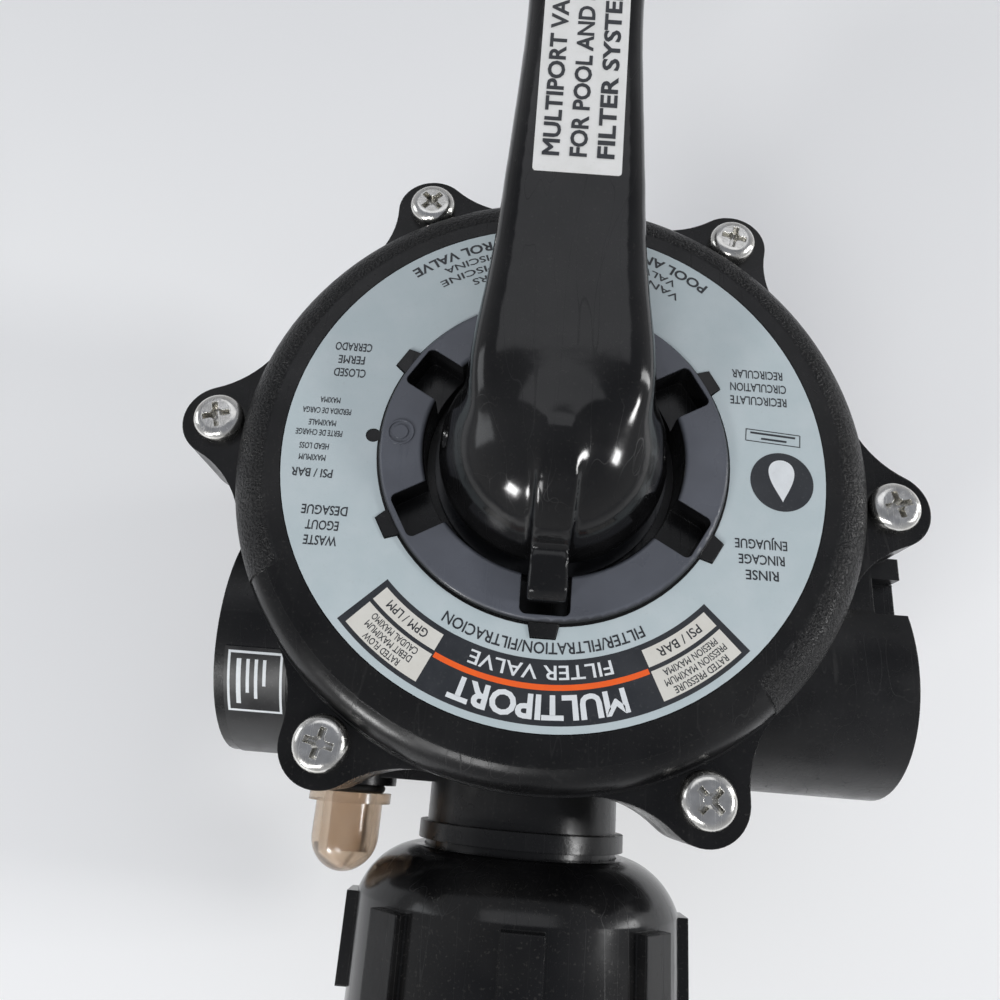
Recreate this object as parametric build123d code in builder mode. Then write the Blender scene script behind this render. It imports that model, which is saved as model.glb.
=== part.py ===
from build123d import *
import math
import os

os.makedirs("parts", exist_ok=True)

# Six-position multiport valve for a pool filter. Millimetres, +Z up.
# The origin is the middle of the tank flange's underside, on the dial axis.
# The FILTER position points along -Y, the waste port leaves along -Y, and the
# two pipe sockets leave along +X and -X. The dial handle is drawn pressed down,
# with its nose lifted just clear of the hub, as it is while it is being turned.

# ---- Levels --------------------------------------------------------------
label_z = 150.0            # printed face of the dial plate
rim_drop = 8.0             # from that face down to the top of the screw ears
ear_thickness = 11.0       # cover ears, down to the parting face
flange_thickness = 12.0    # body flange under the parting face
cup_depth = 27.0           # parting face down to the spider plate
chamber_depth = 32.0       # spider plate's top down to the chamber floors
port_drop = 4.0            # spider plate down to the axis of the three pipe ports

lug_z = label_z - rim_drop
parting_z = lug_z - ear_thickness
plate_z = parting_z - cup_depth
chamber_floor_z = plate_z - chamber_depth
overcut = 1.0              # how far a cut runs past the face that it opens
port_z = plate_z - port_drop

# ---- Cover and body rings ------------------------------------------------
cover_r = 76.0             # outline between the screw ears
bolt_count = 6
bolt_angle = -3.5          # first screw, degrees from +X
ear_r = 9.5
ear_blend_r = 25.0
rim_r = cover_r - rim_drop
bolt_r = cover_r + 6.5
bell_r = cover_r - 9.0      # body outside, above the waist
waist_r = bell_r - 5.0      # body outside, below the waist
waist_z = chamber_floor_z - 12.0
cup_r = bell_r - 9.0        # inside of the diverter chamber
skirt_gap = 0.4            # cover skirt inside the cup
skirt_wall = 2.6
skirt_depth = 5.0
roof_z = label_z - 8.5     # underside of the cover outside the hub
ceiling_z = label_z - 16.0  # underside of the cover round the stem
boss_depth = 6.0
boss_r = 17.0
ceiling_step = 3.0         # the high ceiling starts this far outside the hub
hub_round = 1.2            # rounded edges of the hub and the crown
lug_drop = 2.0             # screw lugs below the body flange
lug_stop = 1.0             # and their tops below the parting face
room_corner_r = 2.5
strip_from = -152.0        # smooth strip round the front of the rim
strip_sweep = 105.0
strip_depth = 0.4
strip_start = 12.0         # up the crown, degrees over its outer edge
strip_arc = 60.0

# ---- Hub, label and dial positions ----------------------------------------
position_count = 6
position_angle = -90.0     # FILTER, towards -Y
well_r = 30.4
well_depth = 10.0
hub_r = 40.8
hub_rise = 1.8
slot_w = 11.1
slot_r = 39.2
slot_depth = 7.6           # below the top of the hub
slot_corner_r = 1.5
label_r_in = 41.4
label_r_out = rim_r - 4.4
label_t = 0.4
label_gap = 0.2
tab_root_w = 6.8
tab_tip_w = 5.2
tab_length = 3.1
tab_rise = 0.5
tab_bite = 0.5             # part of a tab that lies inside the hub
mark_angle = 178.0         # two moulded rings on the hub
mark_shift = 0.4
mark_ring_r = 3.2
mark_ring_in_r = 2.7
mark_dot_r = 1.8
mark_rise = 0.25
notch_angle = 179.0        # keying notch in the label
notch_r = 1.8
notch_shift = 1.2

hub_z = label_z + hub_rise
well_z = label_z - well_depth
slot_floor_z = hub_z - slot_depth

# ---- Stem, diverter and handle --------------------------------------------
stem_r = 11.0
running_fit = 0.05         # radial, round the stem and the pin
easy_gap = 0.3             # between parts that pass without touching
seat_gap = 0.1             # diverter over the gasket when it is seated
key_r = cup_r - 4.0
key_thickness = 16.0
gasket_thickness = 3.0
gasket_bedded = 1.5        # part of the gasket that sits in its groove
gasket_w = 3.0
gasket_side_gap = 0.15
gasket_rim_offset = 2.0    # middle of each gasket rim from the walls of the rooms
spoke_w = 6.0
core_r = 21.0              # column round the standpipe passage, under the diverter
room_r = cup_r - 8.0        # outer wall of the six rooms under the diverter
window_edge = 1.0          # diverter window inside the room below it
window_clear = 4.0         # window outside the spring
window_corner_r = 3.0
scoop_share = 0.6          # depth of the return scoop, of the diverter's thickness
bridge_w = 8.0             # passage between the scoop's two windows
bridge_length = 16.0
stem_chamfer = 1.5
stem_over_pin = 8.0
stem_head_room = 1.5       # over the stem, inside the dome
stem_groove_ease = 0.2
press_angle = 7.0          # handle travel between locked and pressed
fulcrum_y = 20.0           # heel of the handle, on the bearing washer
washer_t = 1.5
washer_side_gap = 2.0      # bearing washer inside the well
pin_r = 3.2
pin_length = 44.0
pin_chamfer = 0.5
pin_over_heel = 8.5        # pin height over the handle's flat underside
dome_r = 27.0
dome_z = label_z + 24.0
dome_foot = 4.0            # dome drawn below the heel before it is trimmed
dome_draft = 1.5
nose_w = 8.5
nose_r = 37.0
nose_outline = (           # back from the tip, height over the underside
    (9.5, 6.4), (1.5, 5.4), (0.0, 3.6), (0.0, 0.8), (0.8, 0.0),
)
nose_crest = 1.4           # rib over the dome
crest_start = 95.0
crest_arc = 62.0
nose_well_gap = 0.5        # where the nose steps down into the well
nose_root = 4.0
nose_drop = 2.0
nose_spare = 0.1
grip_stations = (          # distance from the axis, width, height, top over the dial
    (-4.0, 34.0, 20.0, 19.0),
    (13.0, 42.0, 20.5, 24.0),
    (28.0, 38.6, 18.5, 25.4),
    (50.0, 33.6, 16.5, 28.5),
    (80.0, 29.8, 15.5, 33.0),
    (112.0, 28.4, 15.0, 37.8),
    (142.0, 26.6, 13.5, 41.5),
)
grip_end_round = 4.0
grip_corner_share = 0.34   # corner radius of a section, of its height
coil_r = 24.5
wire_r = 1.6
coil_turns = 3
coil_side_gap = 1.5        # spring pocket each side of the coil
spring_pocket_depth = 9.5
spring_washer_margin = 1.0
spring_washer_t = 1.2
stem_ring_r = 1.0
stem_ring_drops = (17.0, 12.5)   # stem seals, under the dial

key_lift = fulcrum_y * math.sin(math.radians(press_angle)) - pin_over_heel * (
    1 - math.cos(math.radians(press_angle)))
gasket_z = plate_z + gasket_thickness - gasket_bedded
key_z = gasket_z + seat_gap + key_lift
key_top_z = key_z + key_thickness
washer_z = well_z + washer_t
heel_z = washer_z + easy_gap
pin_z = heel_z + pin_over_heel + key_lift
spring_top_z = ceiling_z - spring_washer_t
spring_seat_z = key_top_z - spring_pocket_depth
stem_top_z = pin_z + stem_over_pin
stem_ring_levels = [label_z - drop for drop in stem_ring_drops]
stem_rock = 1.8            # half the front-to-back play of the stem inside the dome
nose_z = hub_z + easy_gap + nose_spare

# ---- Pipe ports -----------------------------------------------------------
pipe_r = 24.25             # bore of a socket for 48.3 mm pipe
socket_r = pipe_r + 6.75
side_port_y = -40.0
return_end_x = bell_r + 24.0
return_depth = 32.0
pump_end_x = -bell_r - 10.0
pump_depth = 20.0
passage_r = 11.0
passage_z = chamber_floor_z + passage_r + 3.0
feed_r = 10.0
feed_shift = 5.0           # passages behind the side ports, towards the axis
return_feed_length = 26.0
pump_feed_length = 20.0
pump_feed_rise = 1.0       # pump passage over the spider plate
waste_feed_length = 24.0
web_length = 20.0          # web over the return socket
web_w = 20.0
web_height = 28.0
web_inset = 1.0
web_shift = 17.0
step_length = 8.0          # step cut from the web's end
step_w = 9.0
step_height = 10.0
step_rise = 27.0
neck_r = 24.15
neck_bore_r = 17.5
bead_r = 26.0
bead_y = -bell_r - 17.0
bead_w = 4.0
union_lip_y = -bell_r - 22.5
union_lip_w = 7.5
union_flange_r = 31.5
union_flange_w = 4.0
nut_r = 39.5
nut_thread_r = 33.0
nut_shoulder = 11.0
nut_lip_flat = 2.6         # flat ring round the nut's hole
nut_bulge = (5.5, 3.2)     # middle of the shoulder, in from the side and the lip
nut_lug_count = 8
nut_lug_rise = 5.0
nut_lug_w = 9.0
nut_lug_start = 12.0
nut_lug_stop = 2.0
nut_end_y = union_lip_y - 34.5
sight_x = -45.0
sight_boss_r = 11.5
sight_boss_y = -bell_r - 10.0
sight_thread_r = 6.5
bulb_r = 8.5
bulb_wall = 1.6
bulb_end_y = sight_boss_y - 21.0
cross_bore_r = 3.5
sight_bore_back = 9.0      # cross bore behind the boss face
sight_thread_depth = 12.0
sight_arm_w = 14.0         # arm that carries the boss on the waste neck
sight_arm_height = 16.0
thread_gap = 0.1           # radial, round a screwed-in piece
bulb_tip = 1.0             # extra thickness at the bulb's tip
bulb_taper = (2.2, 4.0)    # narrow end of the bulb's bore, in from the thread and up
bulb_mouth_wall = 1.8
bulb_thread_length = 6.0
bulb_flange_margin = 1.0
bulb_flange_t = 2.5

# ---- Base -----------------------------------------------------------------
base_r = bell_r + 10.0
base_edge = 4.5
base_bevel = 6.0
base_foot = 6.0            # sloping foot between the flange and the waist
bell_step = 8.0
tank_neck_r = waist_r - 6.0
standpipe_tube_r = pipe_r + 5.75
standpipe_depth = 34.0
standpipe_bore_r = 16.0
standpipe_bore_rise = 20.0  # passage over the chamber floors
cross_feed_angle = 30.0    # passage from the standpipe into two rooms
cross_feed_rise = 10.0
cross_feed_r = 8.0
cross_feed_overrun = 4.0
standpipe_groove_z = standpipe_depth / 3
tank_feed_angles = (90.0, 150.0)
gauge_angle = 45.0
gauge_z = 42.0
gauge_boss_r = 11.0
gauge_thread_r = 6.6
gauge_face_r = waist_r + 8.0
gauge_root_r = 40.0
gauge_plug_depth = 11.0
gauge_hex_r = 8.0          # half of the width across flats
gauge_hex_height = 6.0
gauge_chamfer = 0.6

# ---- Fasteners and seals --------------------------------------------------
screw_r = 3.175
screw_hole_r = screw_r + 0.325
screw_length = 25.4
head_r = screw_r + 2.975
head_height = 3.9
head_round = 0.62 * head_height
screw_tip_chamfer = 0.6
recess_length = 6.6        # cross recess
recess_w = 1.5
recess_turn = 20.0
recess_depth = 2.4
recess_taper = 12.0
nut_flats = 2 * screw_r + 4.75
nut_height = 5.6
nut_pocket_gap = 0.15
nut_recess = 1.0           # nut above the foot of its lug
cover_ring_r = bell_r - 3.4
cover_ring_section = 1.7
cover_groove_ease = 0.4
tank_ring_r = base_r - 7.0
tank_ring_section = 2.0
tank_groove_ease = 0.3
tank_groove_spare = 0.2    # groove deeper than the ring
standpipe_ring_section = 1.2
ring_gap = 0.1
union_ring_r = 24.0
union_ring_section = 1.6
union_groove_ease = 0.2
sight_ring_section = 1.0

union_groove_depth = 2.6
flange_y = union_lip_y - union_lip_w - easy_gap
union_groove_y = flange_y - union_flange_w + union_groove_depth

# ---- Stickers --------------------------------------------------------------
sticker_w = 20.0
sticker_length = 58.0
sticker_t = 0.3
sticker_sink = 0.05
sticker_start = 5.0        # beyond the nearer of the two stations that it lies on
sticker_corner_r = 0.8
port_sticker_w = 15.0
port_sticker_t = 0.25
port_sticker_inset = 2.5
port_sticker_lean = 15.0   # its start, degrees forward of the socket's top
port_sticker_arc = 100.0


def radial_plane(angle):
    """Upright half-plane through the dial axis: local x runs outwards, local y runs up."""
    a = math.radians(angle)
    return Plane(origin=(0, 0, 0), x_dir=(math.cos(a), math.sin(a), 0),
                 z_dir=(math.sin(a), -math.cos(a), 0))


def polar_point(radius, angle, z=0.0):
    """Point at a radius and a direction from the dial axis."""
    a = math.radians(angle)
    return Vector(radius * math.cos(a), radius * math.sin(a), z)


def port_plane(x, y, z, direction):
    """Plane facing along a port, for its round sections."""
    return Plane(origin=(x, y, z), x_dir=(0, 0, 1), z_dir=direction)


def tube_along(plane, radius, length, mode=Mode.ADD):
    """Round bar or bore from a plane, along its normal."""
    with BuildSketch(plane) as section:
        Circle(radius)
    extrude(section.sketch, amount=length, mode=mode)


def lobed_plate(z, height, hole_r, ear):
    """Round plate with one blended ear at each screw and a hole in the middle."""
    with BuildSketch(Plane.XY.offset(z)) as outline:
        Circle(cover_r)
        with PolarLocations(bolt_r, bolt_count, start_angle=bolt_angle):
            Circle(ear)
        fillet(outline.vertices(), ear_blend_r)
        Circle(hole_r, mode=Mode.SUBTRACT)
    extrude(outline.sketch, amount=height)


def ring(radius, section, z):
    """O-ring lying level."""
    with Locations((0, 0, z)):
        Torus(radius, section)


def sector(r_in, r_out, wall, corner_r):
    """Room between two radial walls, centred on local +X of the current location."""
    with BuildSketch(mode=Mode.PRIVATE) as room:
        Circle(r_out)
        Circle(r_in, mode=Mode.SUBTRACT)
        half = 180.0 / position_count
        reach = 2 * r_out
        for side in (-1, 1):
            a = math.radians(side * half)
            off = Vector(-math.sin(a), math.cos(a)) * (side * (reach / 2 - wall / 2))
            with Locations(Location((off.X, off.Y, 0), (0, 0, side * half))):
                Rectangle(4 * r_out, reach, mode=Mode.SUBTRACT)
        with Locations((-r_out, 0)):
            Rectangle(2 * r_out, 4 * r_out, mode=Mode.SUBTRACT)
        fillet(room.vertices(), corner_r)
    return room.sketch


def gasket_wheel(width):
    """Outline of the spider gasket: two rims joined by a spoke on each wall."""
    with BuildSketch(mode=Mode.PRIVATE) as wheel:
        outer = room_r + gasket_rim_offset
        inner = core_r - gasket_rim_offset
        for radius in (outer, inner):
            Circle(radius + width / 2)
            Circle(radius - width / 2, mode=Mode.SUBTRACT)
        with PolarLocations((outer + inner) / 2, position_count,
                            start_angle=position_angle + 180 / position_count):
            Rectangle(outer - inner, width)
    return wheel.sketch


def tab_shape(gap):
    """Outline of a pointer tab, wider by a gap at its sides and tip. It starts inside the hub."""
    root = tab_root_w / 2 + gap
    tip = tab_tip_w / 2 + gap
    reach = tab_length + tab_bite + gap
    with BuildSketch(mode=Mode.PRIVATE) as tab:
        Polygon((0, -root), (reach, -tip), (reach, tip), (0, root), align=(Align.MIN, Align.CENTER))
    return tab.sketch


room_shape = sector(core_r, room_r, spoke_w, room_corner_r)


# ---- Valve body: tank flange, waist, chambers, cup and ports ----------------
with BuildPart() as valve_body:
    with BuildSketch(Plane.XZ):
        with BuildLine():
            Polyline((0, 0), (base_r, 0), (base_r, base_edge),
                     (waist_r + base_foot, base_edge + base_bevel),
                     (waist_r, base_edge + base_bevel + base_foot),
                     (waist_r, waist_z), (bell_r, waist_z + bell_step), (bell_r, parting_z),
                     (0, parting_z), close=True)
        make_face()
    revolve(axis=Axis.Z)
    lobed_plate(parting_z - flange_thickness, flange_thickness, cup_r, ear_r)
    with BuildSketch(Plane.XY.offset(parting_z - flange_thickness - lug_drop)):
        with PolarLocations(bolt_r, bolt_count, start_angle=bolt_angle):
            RegularPolygon(ear_r, 6, rotation=30)
    extrude(amount=flange_thickness + lug_drop - lug_stop)

    # Outsides of the pipe ports, the waste neck and the sight-glass boss.
    tube_along(port_plane(0, side_port_y, port_z, (1, 0, 0)), socket_r, return_end_x)
    tube_along(port_plane(0, side_port_y, port_z, (-1, 0, 0)), socket_r, -pump_end_x)
    tube_along(port_plane(0, 0, port_z, (0, -1, 0)), neck_r, -flange_y)
    tube_along(port_plane(0, bead_y, port_z, (0, -1, 0)), bead_r, bead_w)
    tube_along(port_plane(0, flange_y, port_z, (0, -1, 0)), union_flange_r, union_flange_w)
    tube_along(port_plane(sight_x, 0, port_z, (0, -1, 0)), sight_boss_r, -sight_boss_y)
    with Locations((sight_x / 2, sight_boss_y + sight_bore_back, port_z)):
        Box(-sight_x, sight_arm_w, sight_arm_height)
    tube_along(Plane(origin=polar_point(gauge_root_r, gauge_angle, gauge_z),
                     z_dir=polar_point(1, gauge_angle)), gauge_boss_r, gauge_face_r - gauge_root_r)

    # Stepped web that ties the return socket to the screw lug above it.
    web_x = return_end_x - web_inset - web_length / 2
    with Locations((web_x, side_port_y + web_shift, port_z + web_height / 2)):
        Box(web_length, web_w, web_height)
    with Locations((return_end_x - step_length / 2, side_port_y + web_shift, port_z + step_rise)):
        Box(step_length, step_w, step_height, mode=Mode.SUBTRACT)

    # Cup, spider-plate rooms and the groove of the spider gasket.
    with BuildSketch(Plane.XY.offset(plate_z)):
        Circle(cup_r)
    extrude(amount=cup_depth, mode=Mode.SUBTRACT)
    with BuildSketch(Plane.XY.offset(chamber_floor_z)):
        for k in range(position_count):
            add(room_shape, rotation=position_angle + k * 360 / position_count)
    extrude(amount=chamber_depth, mode=Mode.SUBTRACT)
    with BuildSketch(Plane.XY.offset(plate_z)):
        add(gasket_wheel(gasket_w + 2 * gasket_side_gap))
    extrude(amount=-gasket_bedded, mode=Mode.SUBTRACT)

    # Standpipe passage with its cross bore into two rooms.
    tube_along(Plane.XY, pipe_r, standpipe_depth, Mode.SUBTRACT)
    tube_along(Plane.XY, standpipe_bore_r, chamber_floor_z + standpipe_bore_rise, Mode.SUBTRACT)
    cross_reach = core_r + cross_feed_overrun
    cross = Plane(origin=polar_point(cross_reach, cross_feed_angle, chamber_floor_z + cross_feed_rise),
                  z_dir=polar_point(-1, cross_feed_angle))
    tube_along(cross, cross_feed_r, 2 * cross_reach, Mode.SUBTRACT)
    with BuildSketch(Plane.XY.offset(standpipe_groove_z - standpipe_ring_section)):
        Circle(pipe_r + 2 * standpipe_ring_section + ring_gap)
    extrude(amount=2 * standpipe_ring_section, mode=Mode.SUBTRACT)

    # Tank-side ring room, with two openings up into the rooms at the back.
    with BuildSketch(Plane.XY):
        Circle(tank_neck_r)
        Circle(standpipe_tube_r, mode=Mode.SUBTRACT)
    extrude(amount=waist_z, mode=Mode.SUBTRACT)
    for angle in tank_feed_angles:
        tube_along(Plane(origin=polar_point((core_r + room_r) / 2, angle, waist_z - overcut)),
                   passage_r, chamber_floor_z - waist_z + 2 * overcut, Mode.SUBTRACT)

    # Pipe sockets and the passages behind them.
    tube_along(port_plane(return_end_x, side_port_y, port_z, (-1, 0, 0)), pipe_r,
               return_depth, Mode.SUBTRACT)
    feed_y = side_port_y + feed_shift
    tube_along(port_plane(return_end_x - return_depth + overcut, feed_y, passage_z, (-1, 0, 0)),
               passage_r, return_feed_length, Mode.SUBTRACT)
    tube_along(port_plane(pump_end_x, side_port_y, port_z, (1, 0, 0)), pipe_r,
               pump_depth, Mode.SUBTRACT)
    tube_along(port_plane(pump_end_x + pump_depth - overcut, feed_y,
                          plate_z + feed_r + pump_feed_rise, (1, 0, 0)),
               feed_r, pump_feed_length, Mode.SUBTRACT)
    mouth_y = union_groove_y - union_groove_depth
    tube_along(port_plane(0, mouth_y, port_z, (0, 1, 0)), neck_bore_r,
               -mouth_y - bell_r, Mode.SUBTRACT)
    tube_along(port_plane(0, -bell_r - overcut, passage_z, (0, 1, 0)), passage_r,
               waste_feed_length, Mode.SUBTRACT)

    with BuildSketch(port_plane(0, mouth_y, port_z, (0, 1, 0))) as groove:
        Circle(union_ring_r + union_ring_section + union_groove_ease)
        Circle(union_ring_r - union_ring_section - union_groove_ease, mode=Mode.SUBTRACT)
    extrude(groove.sketch, amount=union_groove_depth, mode=Mode.SUBTRACT)

    # Sight-glass thread and its cross bore to the waste neck.
    tube_along(port_plane(sight_x, sight_boss_y, port_z, (0, 1, 0)), sight_thread_r,
               sight_thread_depth, Mode.SUBTRACT)
    tube_along(port_plane(sight_x, sight_boss_y + sight_bore_back, port_z, (1, 0, 0)), cross_bore_r,
               -sight_x, Mode.SUBTRACT)

    # Screw holes with hexagonal nut pockets under them.
    with BuildSketch(Plane.XY.offset(parting_z)):
        with PolarLocations(bolt_r, bolt_count, start_angle=bolt_angle):
            Circle(screw_hole_r)
    extrude(amount=-flange_thickness - lug_drop, mode=Mode.SUBTRACT)
    with BuildSketch(Plane.XY.offset(parting_z - flange_thickness - lug_drop)):
        with PolarLocations(bolt_r, bolt_count, start_angle=bolt_angle):
            RegularPolygon(nut_flats / 2 + nut_pocket_gap, 6, major_radius=False)
    extrude(amount=nut_height + nut_recess, mode=Mode.SUBTRACT)

    # Grooves: cover seal, tank seal, union face seal and the gauge thread.
    with BuildSketch(Plane.XY.offset(parting_z)):
        Circle(cover_ring_r + cover_ring_section + cover_groove_ease)
        Circle(cover_ring_r - cover_ring_section - cover_groove_ease, mode=Mode.SUBTRACT)
    extrude(amount=-2 * cover_ring_section, mode=Mode.SUBTRACT)
    with BuildSketch(Plane.XY):
        Circle(tank_ring_r + tank_ring_section + tank_groove_ease)
        Circle(tank_ring_r - tank_ring_section - tank_groove_ease, mode=Mode.SUBTRACT)
    extrude(amount=2 * tank_ring_section + tank_groove_spare, mode=Mode.SUBTRACT)
    tube_along(Plane(origin=polar_point(gauge_face_r, gauge_angle, gauge_z),
                     z_dir=polar_point(-1, gauge_angle)), gauge_thread_r,
               gauge_face_r - tank_neck_r + 2 * overcut, Mode.SUBTRACT)

# ---- Seals that lie in the body ---------------------------------------------
with BuildPart() as tank_o_ring:
    ring(tank_ring_r, tank_ring_section, tank_ring_section + tank_groove_spare / 2)

with BuildPart() as standpipe_o_ring:
    ring(pipe_r + standpipe_ring_section + ring_gap, standpipe_ring_section, standpipe_groove_z)

with BuildPart() as cover_o_ring:
    ring(cover_ring_r, cover_ring_section, parting_z - cover_ring_section)

with BuildPart() as union_o_ring:
    with Locations(Location((0, union_groove_y - union_ring_section, port_z), (90, 0, 0))):
        Torus(union_ring_r, union_ring_section)

# Spider gasket: a wheel-shaped rubber seal on the walls between the rooms.
with BuildPart() as spider_gasket:
    with BuildSketch(Plane.XY.offset(plate_z - gasket_bedded)):
        add(gasket_wheel(gasket_w))
    extrude(amount=gasket_thickness)


# ---- Cover: crown, hub, well and stem boss in one turned shape, plus the ears ---
with BuildPart() as cover:
    with BuildSketch(Plane.XZ) as section:
        with BuildLine():
            Polyline((rim_r, label_z), (label_r_out + label_gap, label_z),
                     (label_r_out + label_gap, label_z - label_t), (hub_r, label_z - label_t),
                     (hub_r, hub_z), (well_r, hub_z), (well_r, well_z),
                     (stem_r + running_fit, well_z), (stem_r + running_fit, ceiling_z - boss_depth),
                     (boss_r, ceiling_z - boss_depth), (boss_r, ceiling_z),
                     (hub_r + ceiling_step, ceiling_z), (hub_r + ceiling_step, roof_z),
                     (cup_r - skirt_gap - skirt_wall, roof_z),
                     (cup_r - skirt_gap - skirt_wall, parting_z - skirt_depth),
                     (cup_r - skirt_gap, parting_z - skirt_depth), (cup_r - skirt_gap, parting_z),
                     (cover_r, parting_z), (cover_r, lug_z))
            CenterArc((rim_r, lug_z), rim_drop, 0, 90)
        make_face()
        fillet(section.vertices().group_by(Axis.Y)[-1], hub_round)
    revolve(axis=Axis.Z)
    lobed_plate(parting_z, ear_thickness, rim_r, ear_r)

    # Index slots that open into the well, and the pointer tabs beside them.
    with BuildSketch(Plane.XY.offset(slot_floor_z)):
        with PolarLocations(slot_r - slot_w / 2, position_count, start_angle=position_angle):
            RectangleRounded(slot_w, slot_w, slot_corner_r)
        with PolarLocations(slot_r - slot_w, position_count, start_angle=position_angle):
            Rectangle(slot_w, slot_w)
    extrude(amount=slot_depth, mode=Mode.SUBTRACT)
    with BuildSketch(Plane.XY.offset(label_z - label_t)):
        with PolarLocations(hub_r - tab_bite, position_count, start_angle=position_angle):
            add(tab_shape(0))
    extrude(amount=label_t + tab_rise)

    # Two small moulded rings on the hub, between two of the slots.
    with BuildSketch(Plane.XY.offset(hub_z)):
        with Locations(polar_point((well_r + hub_r) / 2 + mark_shift, mark_angle)):
            Circle(mark_ring_r)
            Circle(mark_ring_in_r, mode=Mode.SUBTRACT)
            Circle(mark_dot_r)
    extrude(amount=mark_rise)

    # Shallow smooth strip round the front of the rim.
    with BuildSketch(radial_plane(strip_from)):
        with BuildLine():
            inner = CenterArc((rim_r, lug_z), rim_drop - strip_depth, strip_start, strip_arc)
            outer = CenterArc((rim_r, lug_z), rim_drop + overcut, strip_start, strip_arc)
            Line(inner @ 0, outer @ 0)
            Line(inner @ 1, outer @ 1)
        make_face()
    revolve(axis=Axis.Z, revolution_arc=strip_sweep, mode=Mode.SUBTRACT)

    with BuildSketch(Plane.XY.offset(parting_z)):
        with PolarLocations(bolt_r, bolt_count, start_angle=bolt_angle):
            Circle(screw_hole_r)
    extrude(amount=ear_thickness, mode=Mode.SUBTRACT)

# Printed dial plate: a ring with notches for the tabs and a small keying notch.
with BuildPart() as position_label:
    with BuildSketch(Plane.XY.offset(label_z - label_t)):
        Circle(label_r_out)
        Circle(label_r_in, mode=Mode.SUBTRACT)
        with PolarLocations(hub_r - tab_bite, position_count, start_angle=position_angle):
            add(tab_shape(label_gap), mode=Mode.SUBTRACT)
        with Locations(polar_point(label_r_in + notch_shift, notch_angle)):
            Circle(notch_r, mode=Mode.SUBTRACT)
    extrude(amount=label_t)


# ---- Fasteners: one screw and one nut in each ear ----------------------------
with BuildPart() as cover_screws:
    with BuildSketch(Plane.XY.offset(lug_z)):
        with PolarLocations(bolt_r, bolt_count, start_angle=bolt_angle):
            Circle(head_r)
    extrude(amount=head_height)
    fillet(cover_screws.edges().group_by(Axis.Z)[-1], head_round)
    with BuildSketch(Plane.XY.offset(lug_z)):
        with PolarLocations(bolt_r, bolt_count, start_angle=bolt_angle):
            Circle(screw_r)
    extrude(amount=-screw_length)
    chamfer(cover_screws.edges().group_by(Axis.Z)[0], screw_tip_chamfer)
    with BuildSketch(Plane.XY.offset(lug_z + head_height)):
        with PolarLocations(bolt_r, bolt_count, start_angle=bolt_angle):
            Rectangle(recess_length, recess_w, rotation=recess_turn)
            Rectangle(recess_w, recess_length, rotation=recess_turn)
            Circle(recess_w)
    extrude(amount=-recess_depth, taper=recess_taper, mode=Mode.SUBTRACT)

with BuildPart() as cover_nuts:
    nut_seat_z = parting_z - flange_thickness - lug_drop + nut_height + nut_recess
    with BuildSketch(Plane.XY.offset(nut_seat_z)):
        with PolarLocations(bolt_r, bolt_count, start_angle=bolt_angle):
            RegularPolygon(nut_flats / 2, 6, major_radius=False)
            Circle(screw_r, mode=Mode.SUBTRACT)
    extrude(amount=-nut_height)


# ---- Diverter with its stem ---------------------------------------------------
with BuildPart() as key:
    with BuildSketch(Plane.XY.offset(key_z)):
        Circle(key_r)
    extrude(amount=key_thickness)
    with BuildSketch(Plane.XY.offset(key_top_z)):
        Circle(stem_r)
    extrude(amount=stem_top_z - key_top_z)
    chamfer(key.edges().group_by(Axis.Z)[-1], stem_chamfer)

    # Spring pocket in the top and the flow openings in the disc.
    with BuildSketch(Plane.XY.offset(spring_seat_z)):
        Circle(coil_r + wire_r + coil_side_gap)
        Circle(coil_r - wire_r - coil_side_gap, mode=Mode.SUBTRACT)
    extrude(amount=key_top_z - spring_seat_z, mode=Mode.SUBTRACT)
    window_in_r = coil_r + wire_r + window_clear
    window_out_r = room_r - window_edge
    window = sector(window_in_r, window_out_r, spoke_w + 2 * window_edge, window_corner_r)
    pitch = 360 / position_count
    with BuildSketch(Plane.XY.offset(key_z)):
        add(window, rotation=position_angle + 3 * pitch)
    extrude(amount=key_thickness, mode=Mode.SUBTRACT)
    with BuildSketch(Plane.XY.offset(key_z)):
        add(window, rotation=position_angle + pitch)
        add(window, rotation=position_angle + 2 * pitch)
        with Locations(((window_in_r + window_out_r) / 2, 0)):
            Rectangle(bridge_w, bridge_length)
    extrude(amount=key_thickness * scoop_share, mode=Mode.SUBTRACT)

    for level in stem_ring_levels:
        with BuildSketch(Plane.XY.offset(level - stem_ring_r - stem_groove_ease)):
            Circle(stem_r + overcut)
            Circle(stem_r - 2 * stem_ring_r, mode=Mode.SUBTRACT)
        extrude(amount=2 * (stem_ring_r + stem_groove_ease), mode=Mode.SUBTRACT)
    tube_along(port_plane(-stem_r - overcut, 0, pin_z, (1, 0, 0)), pin_r + running_fit,
               2 * (stem_r + overcut), Mode.SUBTRACT)

with BuildPart() as stem_o_rings:
    for level in stem_ring_levels:
        ring(stem_r - stem_ring_r, stem_ring_r, level)

# Spring between the diverter and the cover, with a slip washer on top of it.
with BuildPart() as spring:
    coil_height = spring_top_z - spring_seat_z - 2 * wire_r
    with BuildLine(Plane.XY.offset(spring_seat_z + wire_r)) as coil:
        Helix(coil_height / coil_turns, coil_height, coil_r)
    with BuildSketch(Plane(origin=coil.line @ 0, z_dir=coil.line % 0)):
        Circle(wire_r)
    sweep(path=coil.line, is_frenet=True)

with BuildPart() as spring_washer:
    with BuildSketch(Plane.XY.offset(spring_top_z)):
        Circle(coil_r + wire_r + spring_washer_margin)
        Circle(boss_r + easy_gap, mode=Mode.SUBTRACT)
    extrude(amount=spring_washer_t)

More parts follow.
